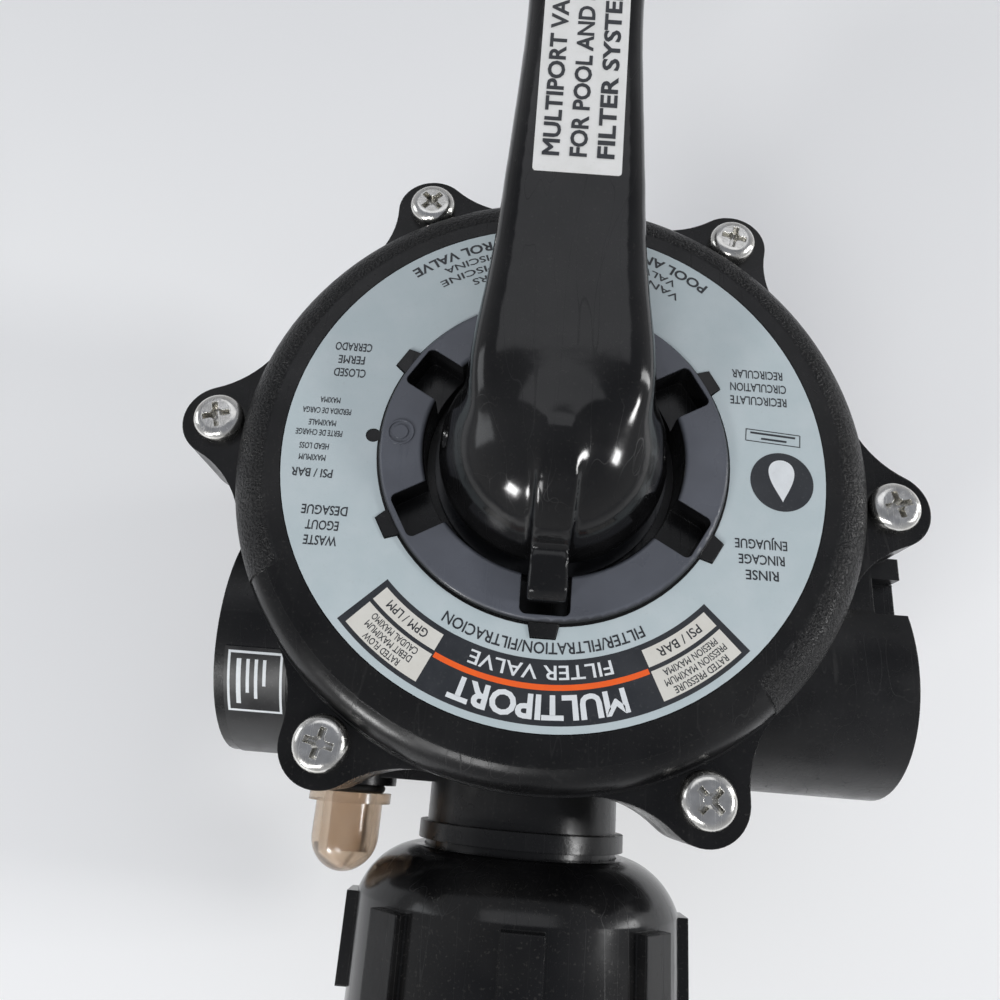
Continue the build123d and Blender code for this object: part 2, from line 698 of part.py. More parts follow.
# Washer in the well, which the heel of the handle bears on.
with BuildPart() as bearing_washer:
    with BuildSketch(Plane.XY.offset(well_z + running_fit)):
        Circle(well_r - washer_side_gap)
        Circle(stem_r + easy_gap, mode=Mode.SUBTRACT)
    extrude(amount=washer_t - running_fit)


# ---- Handle: round dome over the stem, index nose in front, grip behind --------
with BuildPart() as handle:
    dome_mid_z = dome_z - dome_r
    with BuildSketch(Plane.XZ):
        with BuildLine():
            Polyline((0, dome_z), (0, heel_z - dome_foot), (dome_r - dome_draft, heel_z - dome_foot),
                     (dome_r, dome_mid_z))
            CenterArc((0, dome_mid_z), dome_r, 0, 90)
        make_face()
    revolve(axis=Axis.Z)

    # Grip: rounded boxes at the stations along +Y.
    for distance, width, height, top in grip_stations:
        middle_z = label_z + top - height / 2
        station = Plane(origin=(0, distance, middle_z), x_dir=(1, 0, 0), z_dir=(0, 1, 0))
        with BuildSketch(station):
            RectangleRounded(width, height, height * grip_corner_share)
    loft()
    fillet(handle.faces().sort_by(Axis.Y)[-1].edges(), grip_end_round)

    # Nose: a rib down the front of the dome that steps out into a flat tongue.
    with BuildSketch(Plane.YZ):
        with BuildLine():
            crest = CenterArc((0, dome_mid_z), dome_r + nose_crest, crest_start, crest_arc)
            tongue = [(-nose_r + back, nose_z + up) for back, up in nose_outline]
            Polyline(crest @ 1, *tongue, (-well_r + nose_well_gap, nose_z),
                     (-well_r + nose_root, nose_z - nose_drop), (-stem_r, nose_z - nose_drop),
                     (-stem_r, dome_mid_z + stem_r), crest @ 0)
        make_face()
    extrude(amount=nose_w / 2, both=True)

    # Flat underside that lies on the washer when locked, and the heel it rocks on.
    tilt = math.radians(press_angle)
    with BuildSketch(Plane(origin=(0, fulcrum_y, heel_z), x_dir=(1, 0, 0),
                           z_dir=(0, -math.sin(tilt), -math.cos(tilt)))):
        Rectangle(4 * dome_r, 5 * dome_r)
    extrude(amount=dome_r / 2, mode=Mode.SUBTRACT)
    with BuildSketch(Plane.XY.offset(heel_z)):
        Circle(2 * dome_r)
    extrude(amount=-dome_r / 2, mode=Mode.SUBTRACT)

    # Room for the stem, long enough front to back for the rocking, and the pin bore.
    with BuildSketch(Plane.XY.offset(heel_z - overcut)):
        SlotCenterToCenter(2 * stem_rock, 2 * (stem_r + easy_gap), rotation=90)
    extrude(amount=stem_top_z + stem_head_room - heel_z + overcut, mode=Mode.SUBTRACT)
    tube_along(port_plane(-2 * dome_r, 0, pin_z, (1, 0, 0)), pin_r, 4 * dome_r, Mode.SUBTRACT)

with BuildPart() as handle_pin:
    tube_along(port_plane(-pin_length / 2, 0, pin_z, (1, 0, 0)), pin_r, pin_length)
    chamfer(handle_pin.edges(), pin_chamfer)

# Paper sticker on the top of the grip.
with BuildPart() as handle_sticker:
    near, far = grip_stations[-4], grip_stations[-2]
    rise = math.atan((far[3] - near[3]) / (far[0] - near[0]))
    with BuildSketch(Plane(origin=(0, near[0], label_z + near[3] - sticker_sink), x_dir=(1, 0, 0),
                           z_dir=(0, -math.sin(rise), math.cos(rise)))):
        with Locations((0, sticker_start + sticker_length / 2)):
            RectangleRounded(sticker_w, sticker_length, sticker_corner_r)
    extrude(amount=sticker_t)
    add(handle.part, mode=Mode.SUBTRACT)


# ---- Pieces on the ports -------------------------------------------------------
with BuildPart() as port_sticker:
    lean = math.radians(port_sticker_lean)
    wrap = Plane(origin=(0, side_port_y, port_z), x_dir=(1, 0, 0),
                 z_dir=(0, -math.cos(lean), -math.sin(lean)))
    with BuildSketch(wrap):
        with Locations((pump_end_x + port_sticker_inset + port_sticker_w / 2,
                        socket_r + port_sticker_t / 2)):
            Rectangle(port_sticker_w, port_sticker_t)
    revolve(axis=Axis((0, side_port_y, port_z), (1, 0, 0)), revolution_arc=port_sticker_arc)

with BuildPart() as sight_glass:
    seat_y = sight_boss_y - 2 * sight_ring_section
    floor_y = bulb_end_y + bulb_wall + bulb_tip
    inner_y = sight_boss_y + bulb_thread_length
    thread_x = sight_x + sight_thread_r - thread_gap
    flange_x = sight_x + sight_boss_r - bulb_flange_margin
    with BuildSketch(Plane.XY.offset(port_z)):
        with BuildLine():
            Polyline((sight_x, bulb_end_y), (sight_x, floor_y))
            Polyline((sight_x, floor_y),
                     (sight_x + sight_thread_r - bulb_taper[0], bulb_end_y + bulb_wall + bulb_taper[1]),
                     (sight_x + sight_thread_r - bulb_mouth_wall, inner_y), (thread_x, inner_y),
                     (thread_x, seat_y), (flange_x, seat_y), (flange_x, seat_y - bulb_flange_t),
                     (sight_x + bulb_r, seat_y - bulb_flange_t), (sight_x + bulb_r, bulb_end_y + bulb_r))
            CenterArc((sight_x, bulb_end_y + bulb_r), bulb_r, -90, 90)
        make_face()
    revolve(axis=Axis((sight_x, 0, port_z), (0, 1, 0)))

with BuildPart() as sight_o_ring:
    with Locations(Location((sight_x, sight_boss_y - sight_ring_section, port_z), (90, 0, 0))):
        Torus(sight_thread_r + sight_ring_section + easy_gap, sight_ring_section)

with BuildPart() as gauge_plug:
    face = Plane(origin=polar_point(gauge_face_r, gauge_angle, gauge_z), z_dir=polar_point(1, gauge_angle))
    tube_along(face, gauge_thread_r - thread_gap, -gauge_plug_depth)
    with BuildSketch(face) as hexagon:
        RegularPolygon(gauge_hex_r, 6, major_radius=False)
    extrude(hexagon.sketch, amount=gauge_hex_height)
    outward = Axis(face.origin, face.z_dir)
    chamfer(gauge_plug.faces().sort_by(outward)[-1].edges(), gauge_chamfer)

# Loose union nut round the waste neck, held behind the neck's end flange.
with BuildPart() as waste_union_nut:
    lip_r = neck_r + easy_gap
    with BuildSketch(Plane.XY.offset(port_z)):
        with BuildLine():
            Polyline((nut_r, union_lip_y - nut_shoulder), (nut_r, nut_end_y), (nut_thread_r, nut_end_y),
                     (nut_thread_r, union_lip_y - union_lip_w), (lip_r, union_lip_y - union_lip_w),
                     (lip_r, union_lip_y), (lip_r + nut_lip_flat, union_lip_y))
            ThreePointArc((lip_r + nut_lip_flat, union_lip_y),
                          (nut_r - nut_bulge[0], union_lip_y - nut_bulge[1]),
                          (nut_r, union_lip_y - nut_shoulder))
        make_face()
    revolve(axis=Axis((0, 0, port_z), (0, 1, 0)))
    with BuildSketch(port_plane(0, union_lip_y - nut_lug_start, port_z, (0, -1, 0))) as lugs:
        with PolarLocations(nut_r, nut_lug_count):
            Rectangle(nut_lug_rise, nut_lug_w)
        Circle(nut_r - overcut, mode=Mode.SUBTRACT)
    extrude(lugs.sketch, amount=union_lip_y - nut_lug_start - nut_lug_stop - nut_end_y)


# ---- Write one file for each piece ----------------------------------------------
pieces = {
    "valve_body": valve_body,
    "tank_o_ring": tank_o_ring,
    "standpipe_o_ring": standpipe_o_ring,
    "cover_o_ring": cover_o_ring,
    "union_o_ring": union_o_ring,
    "spider_gasket": spider_gasket,
    "cover": cover,
    "position_label": position_label,
    "cover_screws": cover_screws,
    "cover_nuts": cover_nuts,
    "key": key,
    "stem_o_rings": stem_o_rings,
    "spring": spring,
    "spring_washer": spring_washer,
    "bearing_washer": bearing_washer,
    "handle": handle,
    "handle_pin": handle_pin,
    "handle_sticker": handle_sticker,
    "port_sticker": port_sticker,
    "sight_glass": sight_glass,
    "sight_o_ring": sight_o_ring,
    "gauge_plug": gauge_plug,
    "waste_union_nut": waste_union_nut,
}
for name, piece in pieces.items():
    piece.part.label = name
    export_step(piece.part, f"parts/{name}.step")
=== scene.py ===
# %% [markdown]
# # A pool filter's multiport valve
# The valve sits on a filter tank and steers water to one of six jobs. Its body and moving parts come as
# exact CAD meshes, in metres, with the origin in the middle of the tank flange and Z up. These cells add
# what CAD leaves out: finishes, the printed dial, the stickers, the softened handle, light and camera.

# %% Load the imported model
import math

import bmesh
import bpy
from mathutils import Matrix, Vector


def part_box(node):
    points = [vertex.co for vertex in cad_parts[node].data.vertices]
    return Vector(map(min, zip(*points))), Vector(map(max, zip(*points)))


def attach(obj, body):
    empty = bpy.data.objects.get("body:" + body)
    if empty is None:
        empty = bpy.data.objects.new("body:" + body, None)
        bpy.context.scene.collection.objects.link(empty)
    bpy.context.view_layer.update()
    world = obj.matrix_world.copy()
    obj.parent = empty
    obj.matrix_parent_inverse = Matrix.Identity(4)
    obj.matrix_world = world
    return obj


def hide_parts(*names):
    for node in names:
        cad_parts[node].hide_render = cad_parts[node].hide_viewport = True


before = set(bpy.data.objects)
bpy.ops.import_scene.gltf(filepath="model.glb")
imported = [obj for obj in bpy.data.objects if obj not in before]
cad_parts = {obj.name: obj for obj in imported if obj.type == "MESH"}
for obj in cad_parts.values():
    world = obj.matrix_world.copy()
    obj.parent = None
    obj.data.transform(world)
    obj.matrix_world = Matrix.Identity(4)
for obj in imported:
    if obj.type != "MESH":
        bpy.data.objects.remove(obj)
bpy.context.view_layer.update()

MM = 0.001

# %% [markdown]
# ## Camera
# We look down at the dial from its FILTER side, with the handle pointing away. A camera is placed by its
# position and three directions: right, up and the way it looks. Writing the three directions into a
# matrix gives full control of the small roll, which a Track To constraint would level out.

# %% Camera
scene = bpy.context.scene
lens = bpy.data.cameras.new("camera")
lens.lens = 27.38
lens.sensor_width = 36
camera = bpy.data.objects.new("camera", lens)
scene.collection.objects.link(camera)
to_right = Vector((0.99696, 0.07696, 0.01211))
to_top = Vector((-0.07648, 0.93712, 0.34051))
to_back = Vector((0.01486, -0.34040, 0.94016))
turned = Matrix((to_right, to_top, to_back)).transposed().to_4x4()
camera.matrix_world = Matrix.Translation(Vector((-8.98, -72.41, 313.76)) * MM) @ turned
scene.camera = camera
print("camera height in mm:", round(camera.matrix_world.translation.z / MM))

# %% [markdown]
# ## Floor and light
# Shiny black plastic shows little but what it reflects, so the light is the finish. One large soft box
# above and behind the valve lights the dial, a second at the left and a narrow strip at the right draw
# lines along the grip, and three small bright panes give the dome its window spots. A single
# sun lamp would be simpler, but it would leave the black parts as flat holes with one hard spot.

# %% A helper that builds node networks
def put(tree, kind, sockets=None, **settings):
    """Adds a node. sockets gives its inputs a value, or a link where the value is another node's output."""
    made = tree.nodes.new(kind)
    for name, value in settings.items():
        setattr(made, name, value)
    for key, value in (sockets or {}).items():
        if isinstance(value, bpy.types.NodeSocket):
            tree.links.new(value, made.inputs[key])
        else:
            made.inputs[key].default_value = value
    return made


def paint(red, green, blue):
    """A screen colour, 0 to 255, as the linear colour that a shader wants."""
    parts = [c / 255 for c in (red, green, blue)]
    return tuple(c / 12.92 if c < 0.04045 else ((c + 0.055) / 1.055) ** 2.4 for c in parts) + (1.0,)


# %% The room
floor_glow = paint(206, 207, 210)
ceiling_glow = paint(150, 153, 161)
low_sky, high_sky = 0.05, 0.85
strength = 0.75
room = bpy.data.worlds.new("room")
room.use_nodes = True
scene.world = room
tree = room.node_tree
tree.nodes.clear()
heading = put(tree, "ShaderNodeTexCoord").outputs["Generated"]
height = put(tree, "ShaderNodeSeparateXYZ", {0: heading}).outputs["Z"]
shade = put(tree, "ShaderNodeMapRange", {0: height, 1: low_sky, 2: high_sky, 3: 0.0, 4: 1.0}).outputs[0]
sky = put(tree, "ShaderNodeMix", {0: shade, 6: floor_glow, 7: ceiling_glow}, data_type="RGBA")
glow = put(tree, "ShaderNodeBackground", {"Color": sky.outputs[2], "Strength": strength})
put(tree, "ShaderNodeOutputWorld", {"Surface": glow.outputs[0]})
print("room nodes:", len(tree.nodes))


# %% Soft boxes
DIAL_HEIGHT = 0.14


def soft_box(name, spot, width, depth, brightness, colour=(1, 1, 1)):
    """A rectangular lamp at spot, in metres, facing the dial. brightness is the same for any size."""
    lamp = bpy.data.lights.new(name, "AREA")
    lamp.shape = "RECTANGLE"
    lamp.size = width
    lamp.size_y = depth
    lamp.energy = brightness * math.pi * width * depth
    lamp.color = colour
    made = bpy.data.objects.new(name, lamp)
    made.location = spot
    aim = Vector((0, 0, DIAL_HEIGHT)) - made.location
    made.rotation_euler = aim.to_track_quat("-Z", "Y").to_euler()
    scene.collection.objects.link(made)
    print("lamp", name, "watts", round(lamp.energy, 2))
    return made


soft_box("soft_box_above", (0.0, 0.62, 1.2), 1.1, 0.55, 0.8, (0.96, 0.97, 1.0))
soft_box("soft_box_left", (-1.15, 0.25, 0.55), 0.5, 0.5, 2.0, (0.94, 0.97, 1.0))
soft_box("strip_right", (1.05, 0.30, 0.45), 0.10, 0.8, 9.0)
soft_box("window_left", (-0.80, -1.00, 0.62), 0.26, 0.20, 42.0)
soft_box("window_right", (1.12, -0.12, 0.76), 0.22, 0.16, 40.0)
soft_box("window_high", (-0.30, -1.10, 1.05), 0.42, 0.30, 12.0)

# %% The floor
floor_mesh = bpy.data.meshes.new("floor")
half = 3.0
floor_corners = [(-half, -half, 0), (half, -half, 0), (half, half, 0), (-half, half, 0)]
floor_mesh.from_pydata(floor_corners, [], [(0, 1, 2, 3)])
floor = bpy.data.objects.new("floor", floor_mesh)
scene.collection.objects.link(floor)
scene.view_settings.view_transform = "Standard"
print("floor", 2 * half, "m wide")

# %% [markdown]
# ## Building blocks for finishes
# No real surface is one flat colour. Each finish here is a Principled shader fed by noise of a stated
# size in millimetres, because object coordinates are in metres and real grain has a real size. Bump
# chains carry the moulded orange peel and hairline scratches, and a Bevel node rounds the sharp CAD
# edges in the shading, which costs no geometry and catches the thin bright lines that real edges show.
# Images wrapped round the parts could do the same, but each part would have to be unwrapped first.

# %% Small node helpers
def noise(tree, place, size_mm, detail=3.0):
    """Soft random blots about size_mm across."""
    sockets = {"Vector": place, "Scale": 1000 / size_mm, "Detail": detail}
    return put(tree, "ShaderNodeTexNoise", sockets).outputs[0]


def span(tree, value, low, high, start=0.0, end=1.0):
    """Stretches low..high to start..end, and holds it there outside."""
    return put(tree, "ShaderNodeMapRange", {0: value, 1: low, 2: high, 3: start, 4: end}).outputs[0]


def maths(tree, job, first, second=0.0):
    """One sum, product or other job on one or two values."""
    return put(tree, "ShaderNodeMath", {0: first, 1: second}, operation=job).outputs[0]


def tint(tree, share, first, second):
    """A colour that goes from first to second as share goes from 0 to 1."""
    return put(tree, "ShaderNodeMix", {0: share, 6: first, 7: second}, data_type="RGBA").outputs[2]


def bump(tree, height, depth_mm, under):
    """Relief up to depth_mm deep, added over the normal under it."""
    sockets = {"Height": height, "Distance": depth_mm * MM, "Normal": under}
    return put(tree, "ShaderNodeBump", sockets).outputs[0]


def hairlines(tree, place, turn, size_mm=6.0):
    """Thin scratches that run roughly one way: the middle of a noise that is stretched thirtyfold."""
    lean = (turn, turn * 0.4, turn * 1.7)
    laid = put(tree, "ShaderNodeMapping", {0: place, 2: lean, 3: (1.0, 0.03, 1.0)})
    blots = noise(tree, laid.outputs[0], size_mm, 1.0)
    off_middle = maths(tree, "ABSOLUTE", maths(tree, "SUBTRACT", blots, 0.5))
    half_width = 0.0035
    return span(tree, off_middle, 0.0, half_width, 1.0, 0.0)


def finish_start(name, edge_mm):
    """A new material with its tree, shader, coordinates and edge-softened normal."""
    made = bpy.data.materials.new(name)
    made.use_nodes = True
    tree = made.node_tree
    place = put(tree, "ShaderNodeTexCoord").outputs["Object"]
    normal = put(tree, "ShaderNodeBevel", {"Radius": edge_mm * MM}, samples=4).outputs[0]
    return made, tree, tree.nodes["Principled BSDF"], place, normal


def dust_share(tree, place, amount):
    """Dust lies on faces that look up, in patches: how much of it there is at each point."""
    facing = put(tree, "ShaderNodeNewGeometry").outputs["Normal"]
    up = put(tree, "ShaderNodeSeparateXYZ", {0: facing}).outputs["Z"]
    specks = span(tree, noise(tree, place, 0.7, 4.0), 0.60, 0.72)
    haze = span(tree, noise(tree, place, 30.0), 0.4, 0.7)
    both = maths(tree, "ADD", maths(tree, "MULTIPLY", specks, 0.7), maths(tree, "MULTIPLY", haze, 0.3))
    return maths(tree, "MULTIPLY", maths(tree, "MULTIPLY", both, span(tree, up, 0.2, 0.9)), amount)


def feed(tree, shader, name, value):
    """Links a value to the shader's socket of that name."""
    tree.links.new(value, shader.inputs[name])


def reopen(made):
    """The tree, shader and coordinates of a finish that gets one more layer."""
    tree = made.node_tree
    place = put(tree, "ShaderNodeTexCoord").outputs["Object"]
    return tree, tree.nodes["Principled BSDF"], place


def current(shader, name):
    """What feeds the shader's socket now."""
    return shader.inputs[name].links[0].from_socket


# %% A moulded plastic, from those helpers
DUST = paint(150, 146, 138)
MOULDED = {"peel_mm": 1.4, "peel_depth": 0.02, "edge_mm": 0.35, "dust": 0.10, "scratch": 0.25, "ior": 1.42}


def plastic(name, colour, rough, **changes):
    """Injection-moulded plastic with mottling, orange peel, dust and hairlines. changes replace MOULDED."""
    own = MOULDED | changes
    made, tree, shader, place, normal = finish_start(name, own["edge_mm"])
    flow = span(tree, noise(tree, place, 22.0), 0.35, 0.65)
    lighter = tuple(min(1.0, c * 1.7 + 0.004) for c in colour[:3]) + (1.0,)
    base = tint(tree, flow, colour, lighter)
    dusty = dust_share(tree, place, own["dust"])
    feed(tree, shader, "Base Color", tint(tree, dusty, base, DUST))
    lines = maths(tree, "MAXIMUM", hairlines(tree, place, 0.5), hairlines(tree, place, 2.1, 9.0))
    worn = span(tree, noise(tree, place, 9.0, 5.0), 0.3, 0.75, rough * 0.8, rough * 1.35)
    scuffed = maths(tree, "ADD", worn, maths(tree, "MULTIPLY", lines, own["scratch"]))
    feed(tree, shader, "Roughness", maths(tree, "ADD", scuffed, maths(tree, "MULTIPLY", dusty, 0.8)))
    peel = noise(tree, place, own["peel_mm"], 2.0)
    feed(tree, shader, "Normal", bump(tree, peel, own["peel_depth"], normal))
    shader.inputs["IOR"].default_value = own["ior"]
    print("finish", name, "nodes", len(tree.nodes))
    return made


# %% [markdown]
# ## Body, key and nut
# The body is black glass-filled plastic straight from the mould: satin, with a fine peel. The union nut is
# a smoother black, and the key inside, seen only through the ports, is a slicker natural black. One shared
# black would be less work, but parts from different moulds never match when they lie side by side.

# %% Body, key and nut plastics
body_plastic = plastic("body_plastic", paint(13, 13, 14), 0.27, peel_mm=1.2, peel_depth=0.03, dust=0.06)
nut_plastic = plastic("nut_plastic", paint(12, 12, 13), 0.16, peel_mm=2.4, peel_depth=0.015, edge_mm=0.6)
key_plastic = plastic("key_plastic", paint(24, 24, 26), 0.28, dust=0.02)

# %% [markdown]
# ## Cover
# The cover is one black moulding with two textures. Its flat hub is satin, while the rolled crown
# outside the dial is spark-eroded in the mould to a leathery grain, apart from a smooth strip along the
# FILTER side. Radius, height and compass angle, worked out from object coordinates, say where the grain
# goes. The same radius and height lay a paler grey on the hub's top, a painted sheen for the bright sky
# that the flat black top reflects, while the slots below it keep the plain black. Painting a mask by hand
# would also work, but it would need an image.

# %% Cover plastic
crown_from, crown_full = 67.2, 68.4
ears_from, ears_full = 142.3, 143.2
strip_from, strip_to, blend = math.radians(-152.0), math.radians(-47.0), math.radians(0.3)
grain_size, grain_depth = 0.7, 0.30
cover_plastic = plastic("cover_plastic", paint(10, 10, 11), 0.27, peel_mm=1.6, dust=0.06, ior=1.38)
tree, shader, place = reopen(cover_plastic)
axes = put(tree, "ShaderNodeSeparateXYZ", {0: place})
flat = put(tree, "ShaderNodeCombineXYZ", {0: axes.outputs[0], 1: axes.outputs[1]}).outputs[0]
radius = put(tree, "ShaderNodeVectorMath", {0: flat}, operation="LENGTH").outputs["Value"]
compass = maths(tree, "ARCTAN2", axes.outputs[1], axes.outputs[0])
beyond_dial = span(tree, radius, crown_from * MM, crown_full * MM)
above_ears = span(tree, axes.outputs[2], ears_from * MM, ears_full * MM)
after_start = span(tree, compass, strip_from - blend, strip_from + blend)
before_end = span(tree, compass, strip_to - blend, strip_to + blend, 1.0, 0.0)
off_strip = maths(tree, "SUBTRACT", 1.0, maths(tree, "MULTIPLY", after_start, before_end))
grainy = maths(tree, "MULTIPLY", maths(tree, "MULTIPLY", beyond_dial, above_ears), off_strip)
pits = span(tree, noise(tree, place, grain_size, 2.0), 0.40, 0.62)
grain = maths(tree, "MULTIPLY", pits, grainy)
feed(tree, shader, "Normal", bump(tree, grain, grain_depth, current(shader, "Normal")))
rougher = maths(tree, "MULTIPLY", grainy, 0.08)
feed(tree, shader, "Roughness", maths(tree, "ADD", current(shader, "Roughness"), rougher))

# %% The hub's painted sheen
hub_full, hub_to = 40.6, 41.0
top_from, top_full = 151.2, 151.7
# Painted sheen: a paler grey on the hub's flat top stands in for the bright sky that the black plastic
# reflects there. The slots below keep the plain black, and noise makes the painted sheen patchy.
inside_hub = span(tree, radius, hub_full * MM, hub_to * MM, 1.0, 0.0)
on_top = span(tree, axes.outputs[2], top_from * MM, top_full * MM)
sheen_area = maths(tree, "MULTIPLY", inside_hub, on_top)
rub_and_sheen_patches = span(tree, noise(tree, place, 14.0, 5.0), 0.3, 0.7, 0.75, 1.0)
painted_sheen = maths(tree, "MULTIPLY", sheen_area, rub_and_sheen_patches)
feed(tree, shader, "Base Color", tint(tree, painted_sheen, current(shader, "Base Color"), paint(93, 96, 104)))
print("cover finish nodes:", len(tree.nodes))

# %% [markdown]
# ## Metal, rubber, glass and the washer
# The screws are polished stainless with faint rub marks. The sight glass is a moulded, slightly cloudy
# bulb, and its tan colour is painted in for the brown table that shows through it. Rubber rings are dull and
# a little bloomed, and the bearing washer is a slippery dark grey plastic that the handle has polished in
# rings. A mirror and a perfect glass would be two settings each, but clean ones look like toys, so noise
# varies them.

# %% Stainless steel
steel, tree, shader, place, normal = finish_start("steel", 0.25)
tone = span(tree, noise(tree, place, 3.0), 0.3, 0.7)
feed(tree, shader, "Base Color", tint(tree, tone, paint(214, 212, 206), paint(236, 235, 231)))
shader.inputs["Metallic"].default_value = 1.0
rub_and_sheen_patches = span(tree, noise(tree, place, 1.2, 5.0), 0.3, 0.75, 0.12, 0.30)
rub_marks = maths(tree, "MULTIPLY", hairlines(tree, place, 0.9, 2.0), 0.3)
feed(tree, shader, "Roughness", maths(tree, "ADD", rub_and_sheen_patches, rub_marks))
feed(tree, shader, "Normal", bump(tree, noise(tree, place, 0.6, 3.0), 0.012, normal))
print("finish steel nodes", len(tree.nodes))

# %% Rubber
rubber, tree, shader, place, normal = finish_start("rubber", 0.1)
bloom = span(tree, noise(tree, place, 5.0, 5.0), 0.35, 0.75)
feed(tree, shader, "Base Color", tint(tree, bloom, paint(20, 20, 20), paint(46, 45, 43)))
feed(tree, shader, "Roughness", span(tree, bloom, 0.0, 1.0, 0.55, 0.8))
feed(tree, shader, "Normal", bump(tree, noise(tree, place, 0.4), 0.01, normal))
print("finish rubber nodes", len(tree.nodes))

# %% Cloudy plastic with a painted tan
clear_glass, tree, shader, place, normal = finish_start("clear_glass", 0.2)
haze = span(tree, noise(tree, place, 8.0, 4.0), 0.35, 0.7)
# Painted colour: these two tans stand in for the brown table that shows through the bulb.
feed(tree, shader, "Base Color", tint(tree, haze, paint(232, 212, 190), paint(216, 190, 162)))
feed(tree, shader, "Roughness", span(tree, haze, 0.0, 1.0, 0.12, 0.26))
shader.inputs["Transmission Weight"].default_value = 0.8
shader.inputs["IOR"].default_value = 1.49
feed(tree, shader, "Normal", bump(tree, noise(tree, place, 6.0, 1.0), 0.10, normal))
print("finish clear_glass nodes", len(tree.nodes))

# %% Bearing washer
washer_plastic = plastic("washer_plastic", paint(40, 41, 44), 0.28, dust=0.03)
tree, shader, place = reopen(washer_plastic)
wave = {"Vector": place, "Scale": 130.0, "Distortion": 0.6, "Detail": 3.0}
rings = put(tree, "ShaderNodeTexWave", wave, wave_type="RINGS", rings_direction="Z").outputs["Fac"]
feed(tree, shader, "Normal", bump(tree, rings, 0.015, current(shader, "Normal")))

# %% [markdown]
# ## Label and sticker stock
# The dial is a die-cut vinyl ring, pale blue-grey and satin. Ink sits on it in a very thin film, so ink
# colours get their own finishes with the faint mottling of screen print. The paper sticker on the grip is
# off-white and the port's sticker is black. All of them come from one function, because film, ink and
# paper differ only in colour, gloss, tooth and the size of their blots.

# %% Label stock and inks
LIGHT_DUST = paint(150, 148, 142)


def stock(name, colour, second, rough, size_mm=7.0, fibre=0.004):
    """A printed film or paper: two near tones in soft blots, fine surface tooth and uneven gloss."""
    made, tree, shader, place, normal = finish_start(name, 0.02)
    blots = span(tree, noise(tree, place, size_mm, 5.0), 0.35, 0.7)
    dusty = dust_share(tree, place, 0.10)
    base = tint(tree, blots, colour, second)
    feed(tree, shader, "Base Color", tint(tree, dusty, base, LIGHT_DUST))
    feed(tree, shader, "Roughness", span(tree, blots, 0.0, 1.0, rough, rough + 0.12))
    feed(tree, shader, "Normal", bump(tree, noise(tree, place, 0.35, 3.0), fibre, normal))
    print("stock", name, "nodes", len(tree.nodes))
    return made


label_vinyl = stock("label_vinyl", paint(190, 203, 206), paint(197, 208, 211), 0.36)
ink_dark = stock("ink_charcoal", paint(38, 41, 46), paint(44, 47, 52), 0.34, 4.0)
ink_white = stock("ink_white", paint(232, 236, 238), paint(224, 228, 230), 0.36, 3.0)
ink_cream = stock("ink_cream", paint(226, 224, 216), paint(220, 217, 208), 0.40, 4.0)
ink_orange = stock("ink_orange", paint(255, 104, 26), paint(248, 96, 24), 0.36, 3.0)
sticker_paper = stock("sticker_paper", paint(232, 232, 230), paint(225, 225, 222), 0.48, 5.0, 0.01)
sticker_black = stock("sticker_black", paint(15, 15, 16), paint(22, 22, 23), 0.30, 5.0)

# %% [markdown]
# ## Give each CAD node its finish
# The CAD meshes stay exactly as they are. Only the material in their slots changes. A line of code for
# each piece would be long and hard to check, so a table goes from piece to finish, and each piece that
# the table doesn't name is a rubber seal.

# %% Assign the finishes
handle_plastic = plastic("handle_plastic", paint(9, 9, 10), 0.11, peel_mm=7.0, peel_depth=0.05,
                         edge_mm=0.5, dust=0.04, scratch=0.22, ior=1.43)
finish_of = {
    "valve_body": body_plastic, "cover": cover_plastic, "key": key_plastic, "handle": handle_plastic,
    "waste_union_nut": nut_plastic, "position_label": label_vinyl, "cover_screws": steel,
    "cover_nuts": steel, "spring": steel, "handle_pin": steel, "spring_washer": washer_plastic,
    "bearing_washer": washer_plastic, "sight_glass": clear_glass, "gauge_plug": body_plastic,
    "handle_sticker": sticker_paper, "port_sticker": sticker_black,
}
for name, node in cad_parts.items():
    node.data.materials.clear()
    node.data.materials.append(finish_of.get(name, rubber))
print("rubber parts:", sorted(set(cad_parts) - set(finish_of)))

# %% [markdown]
# ## The handle
# The real lever is one glossy moulding whose dome flows into the grip like the shoulder of a bowling pin.
# The CAD shape joins a ball to the grip with a crease. We copy that mesh, remesh it to an even skin and
# smooth it, most at the shoulder, so that the copy stays on the CAD shape elsewhere. Sculpting would give
# the same flow by hand, but these steps can be run again on a changed CAD mesh. Points near the hub are
# held still to keep the running gap below the nose.

# %% Smooth skin for the handle
def bake_shape(piece):
    """Turns what a piece's modifiers make into its own mesh."""
    bpy.context.view_layer.update()
    shaped = bpy.data.meshes.new_from_object(piece.evaluated_get(bpy.context.evaluated_depsgraph_get()))
    piece.modifiers.clear()
    piece.data = shaped
    return shaped


handle_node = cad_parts["handle"]
handle_skin = bpy.data.objects.new("handle_skin", handle_node.data.copy())
scene.collection.objects.link(handle_skin)
remesh = handle_skin.modifiers.new("even_skin", "REMESH")
remesh.mode = "VOXEL"
remesh.voxel_size = 0.8 * MM
even = bake_shape(handle_skin)


def ramp(value, start_mm, length_mm):
    """0 up to start_mm, 1 from length_mm beyond it."""
    return min(1.0, max(0.0, (value - start_mm * MM) / (length_mm * MM)))


HUB_CLEAR, HUB_BLEND = 154, 6
DOME_FRONT, DOME_BLEND = -14, 8
GRIP_START, GRIP_BLEND = 56, 26
GRIP_SHARE = 0.10


def free_to_move(point):
    """0 near the hub and on the dome's front, 1 on the shoulder, and a light touch along the grip."""
    lift = ramp(point.z, HUB_CLEAR, HUB_BLEND)
    behind = ramp(point.y, DOME_FRONT, DOME_BLEND)
    along = ramp(-point.y, -GRIP_START, GRIP_BLEND)
    return lift * behind * (GRIP_SHARE + (1 - GRIP_SHARE) * along)


